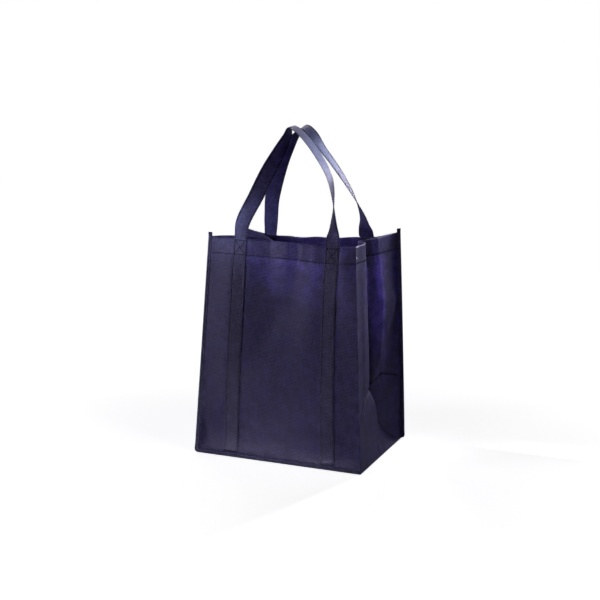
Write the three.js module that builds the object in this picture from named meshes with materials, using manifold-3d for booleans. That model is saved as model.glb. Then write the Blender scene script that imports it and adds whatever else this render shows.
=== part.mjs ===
// A non-woven shopping bag standing open and empty: one folded sheet, two bound seams, two strap handles and
// a loose base board. Millimetres, +Z up. The front faces -Y, and the origin is the middle of the bottom.
import * as THREE from "three";
import Module from "manifold-3d";
import { mergeVertices } from "three/addons/utils/BufferGeometryUtils.js";

// Sheet sizes
const BAG_WIDTH = 305;
const BAG_DEPTH = 216;
const BAG_HEIGHT = 381;
const CLOTH = 0.6;
const HEM = 30;
const GAP = 0.3; // between pieces that lie on each other

// Straps and handles
const STRAP_WIDTH = 27;
const STRAP_THICKNESS = 1.2;
const STRAP_INSET = 48; // upright edge of a panel to the near edge of its strap
const HANDLE_RISE = 190; // mouth to crown
const CROWN_TWIST = 96; // degrees that the strap has turned at its crown
const TWIST_SLOW = 2.5; // the left legs turn late
const TWIST_QUICK = 3; // the right legs turn at once
const FRONT_CROWN = [0, -34]; // the crowns lie side by side
const BACK_CROWN = [6, -5];
// How each leg comes in, as [share of the rise, share of the way from strap end to crown].
const FRONT_LEFT_LEG = [
  [0, 0],
  [0.14, 0.02],
  [0.37, 0.25],
  [0.59, 0.48],
  [0.78, 0.71],
  [0.92, 0.88],
];
const FRONT_RIGHT_LEG = [
  [0, 0],
  [0.19, 0.05],
  [0.38, 0.11],
  [0.57, 0.23],
  [0.74, 0.46],
  [0.93, 0.8],
];
const BACK_LEFT_LEG = [
  [0, 0],
  [0.2, 0.1],
  [0.35, 0.18],
  [0.65, 0.44],
  [0.8, 0.63],
  [0.94, 0.88],
];
const BACK_RIGHT_LEG = [
  [0, 0],
  [0.18, 0],
  [0.33, 0.08],
  [0.5, 0.23],
  [0.68, 0.45],
  [0.82, 0.66],
  [0.95, 0.86],
];

// Seam binding
const SEAM_ALLOWANCE = 6.5;
const TAPE = 0.5;
const BINDING_EAR = 7; // binding standing above the mouth
const BINDING_START = 0.9; // seam line to the binding's inner edge

// Base board
const BOARD_THICKNESS = 1.5;
const BOARD_CLEARANCE = 4; // board edge to wall
const BOARD_CORNER = 8;

// The mouth: where its front-left corner stands from the base corner, and how each panel's rim turns away from
// its own straight line, as [distance along the rim, degrees], counter-clockwise seen from above.
const MOUTH_CORNER = [2.8, 59.6];
const STRAP_END = STRAP_INSET + STRAP_WIDTH;
const FRONT_TURNS = [
  [0, -9],
  [STRAP_INSET, -8],
  [STRAP_END, -6],
  [BAG_WIDTH / 2 - 38, -3],
  [BAG_WIDTH / 2, -8],
  [BAG_WIDTH / 2 + 38, -17],
  [BAG_WIDTH - STRAP_END, -7],
  [BAG_WIDTH - STRAP_INSET - 7, -2],
  [BAG_WIDTH - STRAP_INSET + 8, -36],
  [BAG_WIDTH, -42],
];
const BACK_TURNS = [
  [0, 56],
  [STRAP_INSET - 12, 54],
  [STRAP_INSET + 4, 14],
  [STRAP_END, 2],
  [BAG_WIDTH / 2 - 42, 11],
  [BAG_WIDTH / 2, 5],
  [BAG_WIDTH / 2 + 38, 0],
  [BAG_WIDTH - STRAP_END, -7],
  [BAG_WIDTH - STRAP_INSET - 7, -14],
  [BAG_WIDTH - STRAP_INSET + 13, -22],
  [BAG_WIDTH, -24],
];
const RIGHT_GUSSET_DEPTH = 205; // upright edge to upright edge at the mouth
const RIGHT_GUSSET_TURN = -0.6; // degrees that its mouth line turns away from the depth direction
const NEAR_BOW = 14; // the near half of the right gusset bows out before its fold
const NEAR_BOW_PLACE = 0.64; // share of that half where the bow is widest
const NEAR_BOW_START = 0.3; // how quickly the bow grows above the pinch
// How far the rim of each panel stands above or sags below the length of the cloth, by distance along it.
const FRONT_SAG = [
  [0, 1.5],
  [STRAP_END, 0],
  [BAG_WIDTH / 2, -1],
  [BAG_WIDTH - STRAP_END, -3.3],
  [BAG_WIDTH - STRAP_INSET, -3],
  [BAG_WIDTH, 3],
];
const RIGHT_SAG = [
  [0, 3],
  [BAG_DEPTH / 2, 0],
  [BAG_DEPTH, 1.5],
];
const BACK_SAG = [
  [0, 1.5],
  [STRAP_INSET, 0],
  [BAG_WIDTH / 2, -2],
  [BAG_WIDTH - STRAP_END, -3],
  [BAG_WIDTH, 0],
];
const LEFT_SAG = [
  [0, 0],
  [BAG_DEPTH, 1.5],
];
const PINCH_HEIGHT = 122; // the left gusset folds above it, and the right one is pinched there
const SHELF_HEIGHT = 40; // below it the right gusset comes out to the bottom edge

// Grid of the walls
const GUSSET_COLUMNS = 12;
const UPPER_ROWS = 7;
const RIM_STEPS = 200;
const HANDLE_ROWS = 40;
const BINDING_CORNER_ROWS = 6;

const lerp = THREE.MathUtils.lerp;
const clamp = THREE.MathUtils.clamp;
const smoothstep = (x) => THREE.MathUtils.smoothstep(x, 0, 1);

// Value at x of a line through [x, y] knots.
function through(knots, x) {
  const i = clamp(
    knots.findIndex((k) => k[0] >= x),
    1,
    knots.length - 1,
  );
  const [x0, y0] = knots[i - 1];
  const [x1, y1] = knots[i];
  return lerp(y0, y1, clamp((x - x0) / (x1 - x0), 0, 1));
}

// Rim of a panel in plan, from its first corner: steps of equal length along the turning heading.
function rimPath(start, width, heading, turns) {
  const points = [start.clone()];
  const step = width / RIM_STEPS;
  for (let i = 0; i < RIM_STEPS; i++) {
    const angle = THREE.MathUtils.degToRad(heading + through(turns, (i + 0.5) * step));
    const last = points[i];
    points.push(new THREE.Vector2(last.x + step * Math.cos(angle), last.y + step * Math.sin(angle)));
  }
  return points;
}

// The four base corners in order round the bag, and the mouth's corners above them.
const BASE = [
  [-BAG_WIDTH / 2, -BAG_DEPTH / 2],
  [BAG_WIDTH / 2, -BAG_DEPTH / 2],
  [BAG_WIDTH / 2, BAG_DEPTH / 2],
  [-BAG_WIDTH / 2, BAG_DEPTH / 2],
].map((p) => new THREE.Vector2(...p));
const frontRim = rimPath(BASE[0].clone().add(new THREE.Vector2(...MOUTH_CORNER)), BAG_WIDTH, 0, FRONT_TURNS);
const rightTurn = THREE.MathUtils.degToRad(90 + RIGHT_GUSSET_TURN);
const backCorner = frontRim[RIM_STEPS].clone();
backCorner.x += RIGHT_GUSSET_DEPTH * Math.cos(rightTurn);
backCorner.y += RIGHT_GUSSET_DEPTH * Math.sin(rightTurn);
const backRim = rimPath(backCorner, BAG_WIDTH, 180, BACK_TURNS);
const MOUTH = [frontRim[0], frontRim[RIM_STEPS], backRim[0], backRim[RIM_STEPS]];
const RIMS = { 0: frontRim, 2: backRim };
const SAGS = [FRONT_SAG, RIGHT_SAG, BACK_SAG, LEFT_SAG];
const WIDTHS = [BAG_WIDTH, BAG_DEPTH, BAG_WIDTH, BAG_DEPTH];
const HALF_DEPTH = BAG_DEPTH / 2;
const PINCH_SHARE = PINCH_HEIGHT / BAG_HEIGHT;

// A corner's upright edge in plan at a share v of the height.
function corner(i, v) {
  return BASE[i % 4].clone().lerp(MOUTH[i % 4], v);
}

// Front or back panel at its mouth, in its chord's frame: share along the chord and distance out of it.
function rimInChord(panel, s) {
  const rim = RIMS[panel];
  const at = (s / WIDTHS[panel]) * RIM_STEPS;
  const i = clamp(Math.floor(at), 0, RIM_STEPS - 1);
  const p = rim[i].clone().lerp(rim[i + 1], at - i);
  const chord = rim[RIM_STEPS].clone().sub(rim[0]);
  const d = p.sub(rim[0]);
  return [d.dot(chord) / chord.lengthSq(), (d.x * chord.y - d.y * chord.x) / chord.length()];
}

// Depth of a V fold of two straight halves over a chord.
function foldDepth(chord, half) {
  return Math.sqrt(Math.max(half * half - (chord / 2) ** 2, 0));
}

// Left gusset in its chord's frame: flaps from both edges, and below the fold's start the flat triangle between.
function leftFold(s, v, chord) {
  const flap = Math.min(v / PINCH_SHARE, 1) * HALF_DEPTH;
  const cosine = flap > 0 ? clamp((chord - BAG_DEPTH + 2 * flap) / (2 * flap), 0, 1) : 1;
  const depth = Math.min(s, BAG_DEPTH - s, flap) * Math.sqrt(1 - cosine * cosine);
  const along =
    s < flap ? s * cosine : s > BAG_DEPTH - flap ? chord - (BAG_DEPTH - s) * cosine : s - flap * (1 - cosine);
  return [along / chord, -depth];
}

// Right gusset in its chord's frame: a V whose near half bows out above the pinch. Below it the V keeps its depth,
// and beside the bottom it comes out to the bottom edge as a shelf.
function rightFold(s, v, chord) {
  const share = Math.min(s, BAG_DEPTH - s) / HALF_DEPTH;
  if (v < PINCH_SHARE) {
    const pinch = foldDepth(corner(1, PINCH_SHARE).distanceTo(corner(2, PINCH_SHARE)), HALF_DEPTH);
    const rise = Math.min((v * BAG_HEIGHT) / SHELF_HEIGHT, 1);
    return [s / BAG_DEPTH, -share * pinch * (1 - (1 - rise) ** 2)];
  }
  const grown = (v - PINCH_SHARE) / (1 - PINCH_SHARE);
  const p = s / HALF_DEPTH;
  const bow = p < 1 ? smoothstep(p < NEAR_BOW_PLACE ? p / NEAR_BOW_PLACE : (1 - p) / (1 - NEAR_BOW_PLACE)) : 0;
  return [s / BAG_DEPTH, NEAR_BOW * grown ** NEAR_BOW_START * bow - share * foldDepth(chord, HALF_DEPTH)];
}

// Middle of the sheet in plan, on a panel, at a distance s along it and a share v of the height.
function planPoint(panel, s, v) {
  const a = corner(panel, v);
  const b = corner(panel + 1, v);
  const chord = b.clone().sub(a);
  const length = chord.length();
  let along;
  let out;
  if (panel === 1) [along, out] = rightFold(s, v, length);
  else if (panel === 3) [along, out] = leftFold(s, v, length);
  else {
    const [rimAlong, rimOut] = rimInChord(panel, s);
    along = lerp(s / WIDTHS[panel], rimAlong, v);
    out = v * rimOut;
  }
  return a.addScaledVector(chord, along).add(new THREE.Vector2(chord.y, -chord.x).multiplyScalar(out / length));
}

// Height of the rim above a base point: a line of cloth that leans keeps its length.
function rimHeight(panel, s) {
  const base = corner(panel, 0).lerp(corner(panel + 1, 0), s / WIDTHS[panel]);
  const level = Math.sqrt(BAG_HEIGHT ** 2 - planPoint(panel, s, 1).distanceToSquared(base));
  return level + through(SAGS[panel], s);
}

// Point on the sheet with its directions along the panel, out of the bag and up the cloth.
function sheetFrame(panel, s, v) {
  const near = 1;
  const s0 = Math.max(s - near, 0);
  const s1 = Math.min(s + near, WIDTHS[panel]);
  const p = planPoint(panel, s, v);
  const t = planPoint(panel, s1, v).sub(planPoint(panel, s0, v)).normalize();
  return {
    point: new THREE.Vector3(p.x, p.y, v * rimHeight(panel, s)),
    along: new THREE.Vector3(t.x, t.y, 0),
    out: new THREE.Vector3(t.y, -t.x, 0),
  };
}

// Columns of the walls' grid: both straps' edges and middles are among them.
const wideColumns = [
  ...[0, 1 / 3, 2 / 3].map((k) => k * STRAP_INSET),
  ...[0, 0.5, 1].map((k) => STRAP_INSET + k * STRAP_WIDTH),
  ...[1, 2, 3, 4, 5].map((k) => lerp(STRAP_END, BAG_WIDTH - STRAP_END, k / 6)),
  ...[1, 0.5, 0].map((k) => BAG_WIDTH - STRAP_INSET - k * STRAP_WIDTH),
  ...[1 / 3, 2 / 3].map((k) => BAG_WIDTH - STRAP_INSET * (1 - k)),
];
const gussetColumns = Array.from({ length: GUSSET_COLUMNS }, (_, k) => (k * BAG_DEPTH) / GUSSET_COLUMNS);
const COLUMNS = [wideColumns, gussetColumns, wideColumns, gussetColumns];

// Rows of the grid as shares of the height: gusset creases run through their grid, and the hem has its own edge.
const hemShare = 1 - HEM / BAG_HEIGHT;
const ROWS = [];
for (let k = 0; k <= GUSSET_COLUMNS / 2; k++) ROWS.push((k * PINCH_SHARE) / (GUSSET_COLUMNS / 2));
for (let k = 1; k <= UPPER_ROWS; k++) ROWS.push(lerp(PINCH_SHARE, hemShare, k / UPPER_ROWS));
ROWS.push(1);

// Corner of an offset line in plan: the two edges' normals joined so that both edges move by the same distance.
function miter(before, at, after) {
  const a = at.clone().sub(before).normalize();
  const b = after.clone().sub(at).normalize();
  const sum = new THREE.Vector2(a.y + b.y, -a.x - b.x).normalize();
  return sum.divideScalar(Math.max(sum.x * a.y - sum.y * a.x, 0.4));
}

// One closed ring of the sheet at a share of the height, moved out by a distance.
function sheetRing(v, out) {
  const spots = COLUMNS.flatMap((columns, panel) =>
    columns.map((s) => ({ plan: planPoint(panel, s, v), z: v * rimHeight(panel, s) })),
  );
  return spots.map((spot, i) => {
    const before = spots.at(i - 1).plan;
    const after = spots[(i + 1) % spots.length].plan;
    const p = spot.plan.clone().addScaledVector(miter(before, spot.plan, after), out);
    return new THREE.Vector3(p.x, p.y, spot.z);
  });
}

// Closed solid between rings of equal length: walls from ring to ring, the first and last closed by fans. Quads are
// split along the diagonal that rises with i, or falls with it where falling(i).
function ringSolid(rings, firstHub, lastHub, falling = () => false) {
  const count = rings[0].length;
  const points = [...rings.flat(), firstHub, lastHub];
  const faces = [];
  for (let r = 0; r + 1 < rings.length; r++)
    for (let i = 0; i < count; i++) {
      const j = (i + 1) % count;
      const [a, b, c, d] = [r * count + i, r * count + j, (r + 1) * count + j, (r + 1) * count + i];
      if (falling(i, r)) faces.push([a, b, d], [b, c, d]);
      else faces.push([a, b, c], [a, c, d]);
    }
  const last = (rings.length - 1) * count;
  for (let i = 0; i < count; i++) {
    const j = (i + 1) % count;
    faces.push([points.length - 2, j, i]);
    faces.push([points.length - 1, last + i, last + j]);
  }
  return meshGeometry(points, faces);
}

// Indexed geometry with its faces turned outwards.
function meshGeometry(points, faces) {
  let volume = 0;
  for (const [a, b, c] of faces) volume += points[a].dot(points[b].clone().cross(points[c]));
  const index = volume < 0 ? faces.map(([a, b, c]) => [a, c, b]) : faces;
  const geometry = new THREE.BufferGeometry().setFromPoints(points);
  return geometry.setIndex(index.flat());
}

// Closed ribbon from rows of points across it, each row with its own thickness direction and thickness.
function ribbonSolid(rows) {
  const across = rows[0].points.length;
  const rings = rows.map(({ points, normal, thickness }) => {
    const face = points.map((p) => p.clone().addScaledVector(normal, thickness / 2));
    const reverse = points.map((p) => p.clone().addScaledVector(normal, -thickness / 2));
    return [...face, ...reverse.reverse()];
  });
  const middle = (ring) => ring.reduce((sum, p) => sum.add(p), new THREE.Vector3()).divideScalar(2 * across);
  return ringSolid(rings, middle(rings[0]), middle(rings.at(-1)));
}

const wasm = await Module();
wasm.setup();

function toSolid(geometry) {
  const merged = mergeVertices(geometry.clone(), 1e-4);
  return new wasm.Manifold(
    new wasm.Mesh({
      numProp: 3,
      vertProperties: new Float32Array(merged.attributes.position.array),
      triVerts: new Uint32Array(merged.index.array),
    }),
  );
}

function toGeometry(solid) {
  const mesh = solid.getMesh();
  return new THREE.BufferGeometry()
    .setAttribute("position", new THREE.BufferAttribute(mesh.vertProperties, 3))
    .setIndex(new THREE.BufferAttribute(mesh.triVerts, 1));
}

// Seam allowance that stands out of an upright edge, in line with the panel that starts there.
function seamFin(panel, reach, thickness, top) {
  const shares = [...ROWS.filter((v) => v * BAG_HEIGHT > SEAM_ALLOWANCE * 1.5 && v < 1), 1];
  const first = (SEAM_ALLOWANCE + BINDING_START) / BAG_HEIGHT;
  const rows = [first, ...shares].map((v) => {
    const { point, along, out } = sheetFrame(panel, 0, v);
    const inner = point.clone().addScaledVector(along, CLOTH / 4);
    const outer = point.clone().addScaledVector(along, -reach);
    return { points: [inner, outer], normal: out, thickness };
  });
  const last = rows.at(-1);
  last.points.forEach((p) => (p.z += top));
  return toSolid(ribbonSolid(rows));
}

// The folded sheet: walls, bottom, doubled hem and the two seam allowances.
function bagBody() {
  const half = CLOTH / 2;
  const hemEdge = ROWS.length - 2;
  const outside = ROWS.map((v) => sheetRing(v, half));
  const hemInside = ROWS.slice(hemEdge).map((v) => sheetRing(v, -half - CLOTH));
  const wallInside = ROWS.slice(0, hemEdge + 1).map((v) => sheetRing(v, -half));
  for (const p of wallInside[0]) p.z = CLOTH;
  wallInside.at(-1).forEach((p) => (p.z -= CLOTH));
  const rings = [...outside, ...hemInside.reverse(), ...wallInside.reverse()];
  // Both gussets fold along lines that rise to their middle, on the outside rings and the turned inside rings alike.
  const half1 = wideColumns.length + GUSSET_COLUMNS / 2;
  const half2 = 2 * wideColumns.length + GUSSET_COLUMNS + GUSSET_COLUMNS / 2;
  const pastMiddle = (i) => (i >= half1 && i < half1 + GUSSET_COLUMNS / 2) || i >= half2;
  const falling = (i, r) => pastMiddle(i) === r < outside.length;
  const floor = [new THREE.Vector3(), new THREE.Vector3(0, 0, CLOTH)];
  const walls = toSolid(ringSolid(rings, ...floor, falling));
  const fins = [0, 2].map((panel) => seamFin(panel, SEAM_ALLOWANCE, 2 * CLOTH, 0));
  return toGeometry(walls.add(fins[0]).add(fins[1]));
}

// Tape over one seam: down the upright edge, round the bottom corner and along the panel's bottom edge.
function binding(panel) {
  const reach = SEAM_ALLOWANCE + GAP + TAPE;
  const upright = 2 * (CLOTH + GAP + TAPE);
  const laid = 2 * TAPE + CLOTH;
  const clear = CLOTH / 2 + GAP + laid / 2;
  const pivot = reach + GAP;
  const rows = [];
  const addRow = (frame, outward, shift, thickness) => {
    const start = frame.point.clone().addScaledVector(frame.out, shift);
    const points = [BINDING_START, reach].map((d) => start.clone().addScaledVector(outward, d));
    rows.push({ points, normal: frame.out, thickness });
  };
  const shares = ROWS.filter((v) => v * BAG_HEIGHT > 2 * pivot).reverse();
  shares.forEach((v, i) => {
    const frame = sheetFrame(panel, 0, v);
    const outward = frame.along.clone().negate();
    if (i === 0) {
      const ear = { ...frame, point: frame.point.clone().setZ(frame.point.z + BINDING_EAR) };
      addRow(ear, outward, 0, upright);
    }
    addRow(frame, outward, 0, upright);
  });
  const foot = sheetFrame(panel, 0, 0);
  foot.point.z = pivot;
  const down = new THREE.Vector3(0, 0, -1);
  for (let k = 0; k <= BINDING_CORNER_ROWS; k++) {
    const turn = (k / BINDING_CORNER_ROWS) * (Math.PI / 2);
    const outward = foot.along.clone().multiplyScalar(-Math.cos(turn)).addScaledVector(down, Math.sin(turn));
    const settled = smoothstep((k / BINDING_CORNER_ROWS) * 1.5);
    addRow(foot, outward, settled * clear, lerp(upright, laid, settled));
  }
  for (const s of [...COLUMNS[panel].slice(1), BAG_WIDTH]) {
    const frame = sheetFrame(panel, s, 0);
    frame.point.z = pivot;
    addRow(frame, down, clear, laid);
  }
  const cover = toSolid(ribbonSolid(rows));
  const room = seamFin(panel, SEAM_ALLOWANCE + GAP, 2 * (CLOTH + GAP), GAP);
  return toGeometry(cover.subtract(room));
}

// Strap laid on a panel between two distances along it, as rows from the bottom seam to the mouth.
function sewnRun(panel, from, to) {
  const lift = CLOTH / 2 + GAP + STRAP_THICKNESS / 2;
  const first = (SEAM_ALLOWANCE + 2 * GAP + TAPE + GAP) / BAG_HEIGHT;
  const facing = panel === 0 ? 1 : -1;
  return [first, ...ROWS.filter((v) => v > first)].map((v) => {
    const frames = [from, (from + to) / 2, to].map((s) => sheetFrame(panel, s, v));
    return {
      points: frames.map((f) => f.point.addScaledVector(f.out, lift)),
      normal: frames[1].out.multiplyScalar(facing),
      thickness: STRAP_THICKNESS,
    };
  });
}

// The free loop between the tops of two sewn runs: each leg comes in by its own line and leans over early, and the
// strap turns from facing the front to facing down at the crown.
function handleLoop(left, right, crown, leftLeg, rightLeg) {
  const spot = (end, [rise, inward]) =>
    new THREE.Vector3(
      lerp(end.x, crown.x, inward),
      lerp(end.y, crown.y, Math.sin((Math.PI / 2) * rise)),
      lerp(end.z, crown.z, rise),
    );
  const spots = [...leftLeg.map((k) => spot(left, k)), crown, ...rightLeg.map((k) => spot(right, k)).reverse()];
  const curve = new THREE.CatmullRomCurve3(spots);
  const rows = [];
  for (let k = 1; k < HANDLE_ROWS; k++) {
    const u = k / HANDLE_ROWS;
    const centre = curve.getPointAt(u);
    const tangent = curve.getTangentAt(u);
    const end = u < 0.5 ? left : right;
    const up = clamp((centre.z - end.z) / (crown.z - end.z), 0, 1);
    const turned = u < 0.5 ? up ** TWIST_SLOW : 1 - (1 - up) ** TWIST_QUICK;
    const twist = THREE.MathUtils.degToRad(CROWN_TWIST) * turned;
    const front = new THREE.Vector3(0, -1, 0).addScaledVector(tangent, tangent.y).normalize();
    const inside = tangent.clone().cross(front);
    const normal = front.clone().multiplyScalar(Math.cos(twist)).addScaledVector(inside, Math.sin(twist));
    const side = tangent.clone().cross(normal);
    const points = [-0.5, 0, 0.5].map((w) => centre.clone().addScaledVector(side, w * STRAP_WIDTH));
    rows.push({ points, normal, thickness: STRAP_THICKNESS });
  }
  return rows;
}

// One strap: up the panel, over as a loop and down the panel again.
function handle(panel, [crownX, crownY], leftLeg, rightLeg) {
  const near = [STRAP_INSET, STRAP_END];
  const far = [BAG_WIDTH - STRAP_END, BAG_WIDTH - STRAP_INSET];
  const left = panel === 0 ? sewnRun(0, ...near) : sewnRun(2, far[1], far[0]);
  const right = panel === 0 ? sewnRun(0, far[1], far[0]) : sewnRun(2, ...near);
  const ends = [left, right].map((run) => run.at(-1).points[1]);
  const crown = new THREE.Vector3(crownX, crownY, BAG_HEIGHT + HANDLE_RISE);
  const loop = handleLoop(...ends, crown, leftLeg, rightLeg);
  return ribbonSolid([...left, ...loop, ...right.reverse()]);
}

// Board with round corners, loose on the bottom.
function baseBoard() {
  const x = BAG_WIDTH / 2 - BOARD_CLEARANCE;
  const y = BAG_DEPTH / 2 - BOARD_CLEARANCE;
  const r = BOARD_CORNER;
  const outline = new THREE.Shape();
  outline.absarc(x - r, y - r, r, 0, Math.PI / 2);
  outline.absarc(r - x, y - r, r, Math.PI / 2, Math.PI);
  outline.absarc(r - x, r - y, r, Math.PI, 1.5 * Math.PI);
  outline.absarc(x - r, r - y, r, 1.5 * Math.PI, 2 * Math.PI);
  const board = new THREE.ExtrudeGeometry(outline, { depth: BOARD_THICKNESS, bevelEnabled: false, curveSegments: 6 });
  return board.translate(0, 0, CLOTH + GAP);
}

const cloth = (color) => new THREE.MeshStandardMaterial({ color, roughness: 0.85, metalness: 0 });
const bag = new THREE.Group();
function addPiece(name, geometry, material) {
  const mesh = new THREE.Mesh(geometry, material);
  mesh.name = name;
  bag.add(mesh);
}
addPiece("bag_body", bagBody(), cloth(0x322d55));
addPiece("front_binding", binding(0), cloth(0x26223f));
addPiece("back_binding", binding(2), cloth(0x26223f));
addPiece("front_handle", handle(0, FRONT_CROWN, FRONT_LEFT_LEG, FRONT_RIGHT_LEG), cloth(0x352f5a));
addPiece("back_handle", handle(2, BACK_CROWN, BACK_LEFT_LEG, BACK_RIGHT_LEG), cloth(0x352f5a));
addPiece("base_board", baseBoard(), new THREE.MeshStandardMaterial({ color: 0x1f1d2b, roughness: 0.6, metalness: 0 }));

export default bag;
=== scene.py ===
"""A navy non-woven shopping bag standing open: cloth, tape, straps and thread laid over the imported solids.

Formulas are in millimetres, as in the solids, and become metres when a mesh is made. The front faces -Y.
"""

import bpy
import numpy as np
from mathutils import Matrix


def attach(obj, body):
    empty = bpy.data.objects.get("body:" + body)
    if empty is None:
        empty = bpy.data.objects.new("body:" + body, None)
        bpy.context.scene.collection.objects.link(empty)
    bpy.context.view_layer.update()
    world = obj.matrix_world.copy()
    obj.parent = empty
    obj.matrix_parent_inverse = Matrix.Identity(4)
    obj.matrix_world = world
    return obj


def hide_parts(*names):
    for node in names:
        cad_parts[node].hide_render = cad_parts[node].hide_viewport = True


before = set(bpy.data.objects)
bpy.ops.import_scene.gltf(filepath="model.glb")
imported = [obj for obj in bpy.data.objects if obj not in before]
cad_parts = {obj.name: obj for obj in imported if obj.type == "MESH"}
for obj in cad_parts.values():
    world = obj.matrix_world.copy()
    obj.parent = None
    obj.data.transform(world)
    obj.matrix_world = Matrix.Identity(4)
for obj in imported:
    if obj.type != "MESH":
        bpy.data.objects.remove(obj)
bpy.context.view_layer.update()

MM = 0.001
TINY = 1e-9  # keeps a divisor off nothing


def table(*rows):
    """Knots of a line, one row each, as two arrays for np.interp."""
    return np.array(rows, float).T


# Sheet
WIDTH, DEPTH, HEIGHT = 305.0, 216.0, 381.0
CLOTH, HEM, GAP = 0.6, 30.0, 0.3
STRAP_WIDTH, STRAP_THICKNESS, STRAP_INSET = 27.0, 1.2, 48.0
STRAP_END = STRAP_INSET + STRAP_WIDTH
SEAM, TAPE, EAR = 6.5, 0.5, 7.0

# Mouth: how each rim turns away from its panel's straight line, and how far it stands above or sags below
# its level
MOUTH_CORNER = (2.8, 59.6)
FRONT_TURNS = table(
    (0, -9), (STRAP_INSET, -8), (STRAP_END, -6), (WIDTH / 2 - 38, -3), (WIDTH / 2, -8),
    (WIDTH / 2 + 38, -17), (WIDTH - STRAP_END, -7), (WIDTH - STRAP_INSET - 7, -2),
    (WIDTH - STRAP_INSET + 8, -36), (WIDTH, -42),
)  # fmt: skip
BACK_TURNS = table(
    (0, 56), (STRAP_INSET - 12, 54), (STRAP_INSET + 4, 14), (STRAP_END, 2), (WIDTH / 2 - 42, 11),
    (WIDTH / 2, 5), (WIDTH / 2 + 38, 0), (WIDTH - STRAP_END, -7), (WIDTH - STRAP_INSET - 7, -14),
    (WIDTH - STRAP_INSET + 13, -22), (WIDTH, -24),
)  # fmt: skip
SAGS = (
    table((0, 1.5), (STRAP_END, 0), (WIDTH / 2, -1), (WIDTH - STRAP_END, -3.3), (WIDTH - STRAP_INSET, -3),
        (WIDTH, 3)),
    table((0, 3), (DEPTH / 2, 0), (DEPTH, 1.5)),
    table((0, 1.5), (STRAP_INSET, 0), (WIDTH / 2, -2), (WIDTH - STRAP_END, -3), (WIDTH, 0)),
    table((0, 0), (DEPTH, 1.5)),
)  # fmt: skip
RIGHT_MOUTH, RIGHT_MOUTH_TURN = 205.0, -0.6
NEAR_BOW, NEAR_BOW_PLACE, NEAR_BOW_START = 14.0, 0.64, 0.3
PINCH_HEIGHT, SHELF_HEIGHT = 122.0, 40.0
# Below the pinch, by height: place of the right gusset's deepest crease, and its middle's share of that depth
DEEP_CREASE = table((0, 204), (5, 197), (27, 170), (47, 149), (67, 138), (95, 127), (PINCH_HEIGHT, DEPTH / 2))
MIDDLE_SHARE = table((0, 0.5), (27, 0.38), (67, 0.42), (95, 0.62), (PINCH_HEIGHT, 1))
# Its near half keeps the fold above the pinch down to a crease that slants to the front edge
NEAR_CREASE = table((0, 80), (18, 95), (38, 110), (DEPTH / 2, PINCH_HEIGHT), (DEPTH, PINCH_HEIGHT))
CREASE_BLEND = 6.0  # height over which one fold turns into the other

# Handles: how far a strap has turned at its crown, and how late its left leg and how soon its right leg turn
CROWN_TWIST, TWIST_SLOW, TWIST_QUICK = 96.0, 2.5, 3.0
BACK_ROLL, ROLL_PLACE, ROLL_REACH = 15.0, 7, 10  # further turn of the back strap, in rows past its crown
# Crowns, as x, y and rise above the mouth
FRONT_CROWN, BACK_CROWN = (-5.0, -34.0, 188.5), (6.5, -5.0, 187.0)
# How each leg comes in, as share of the rise and share of the way to the crown
FRONT_LEFT_LEG = ((0, 0), (0.14, 0.02), (0.37, 0.265), (0.59, 0.51), (0.78, 0.755), (0.92, 0.92))
FRONT_RIGHT_LEG = ((0, 0), (0.19, 0.047), (0.38, 0.104), (0.57, 0.218), (0.74, 0.436), (0.93, 0.77))
BACK_LEFT_LEG = ((0, 0), (0.2, 0.1), (0.35, 0.18), (0.65, 0.44), (0.8, 0.62), (0.94, 0.845))
BACK_RIGHT_LEG = ((0, 0), (0.18, 0), (0.33, 0.08), (0.5, 0.23), (0.68, 0.45), (0.82, 0.66), (0.95, 0.86))

RIM_STEPS = 200
WIDTHS = (WIDTH, DEPTH, WIDTH, DEPTH)
PINCH_SHARE = PINCH_HEIGHT / HEIGHT


def smooth(x):
    """0 below 0, 1 above 1, and a smooth step between."""
    x = np.clip(x, 0, 1)
    return x * x * (3 - 2 * x)


def unit(a):
    return a / np.linalg.norm(a, axis=-1, keepdims=True)


def distance(points):
    """How far along a line of points each one lies, from the first."""
    return np.concatenate([[0], np.cumsum(np.linalg.norm(np.diff(points, axis=0), axis=-1))])


def rim_path(start, heading, turns):
    """Plan points of a panel's rim: equal steps, each along the heading plus its turn there."""
    step = WIDTH / RIM_STEPS
    angle = np.radians(heading + np.interp((np.arange(RIM_STEPS) + 0.5) * step, *turns))
    moves = step * np.column_stack([np.cos(angle), np.sin(angle)])
    return np.vstack([start, start + np.cumsum(moves, 0)])


BASE = np.array([[-1, -1], [1, -1], [1, 1], [-1, 1]]) * [WIDTH / 2, DEPTH / 2]
FRONT_RIM = rim_path(BASE[0] + MOUTH_CORNER, 0, FRONT_TURNS)
right_turn = np.radians(90 + RIGHT_MOUTH_TURN)
right_way = np.array([np.cos(right_turn), np.sin(right_turn)])
BACK_RIM = rim_path(FRONT_RIM[-1] + RIGHT_MOUTH * right_way, 180, BACK_TURNS)
MOUTH = np.array([FRONT_RIM[0], FRONT_RIM[-1], BACK_RIM[0], BACK_RIM[-1]])


def edge(i, v):
    """Plan of an upright edge at share v of the height: straight from base corner to mouth corner."""
    return BASE[i % 4] + v[..., None] * (MOUTH[i % 4] - BASE[i % 4])


def panel_bend(rim):
    """A front or back panel in its chord's frame: straight at the base, its rim's own line at the mouth."""
    chord = rim[-1] - rim[0]
    d = rim - rim[0]
    place = np.linspace(0, WIDTH, RIM_STEPS + 1)
    share = d @ chord / (chord @ chord)
    out = (d[:, 0] * chord[1] - d[:, 1] * chord[0]) / np.linalg.norm(chord)

    def bend(s, v, length):
        flat = s / WIDTH
        return flat + v * (np.interp(s, place, share) - flat), v * np.interp(s, place, out)

    return bend


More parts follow.
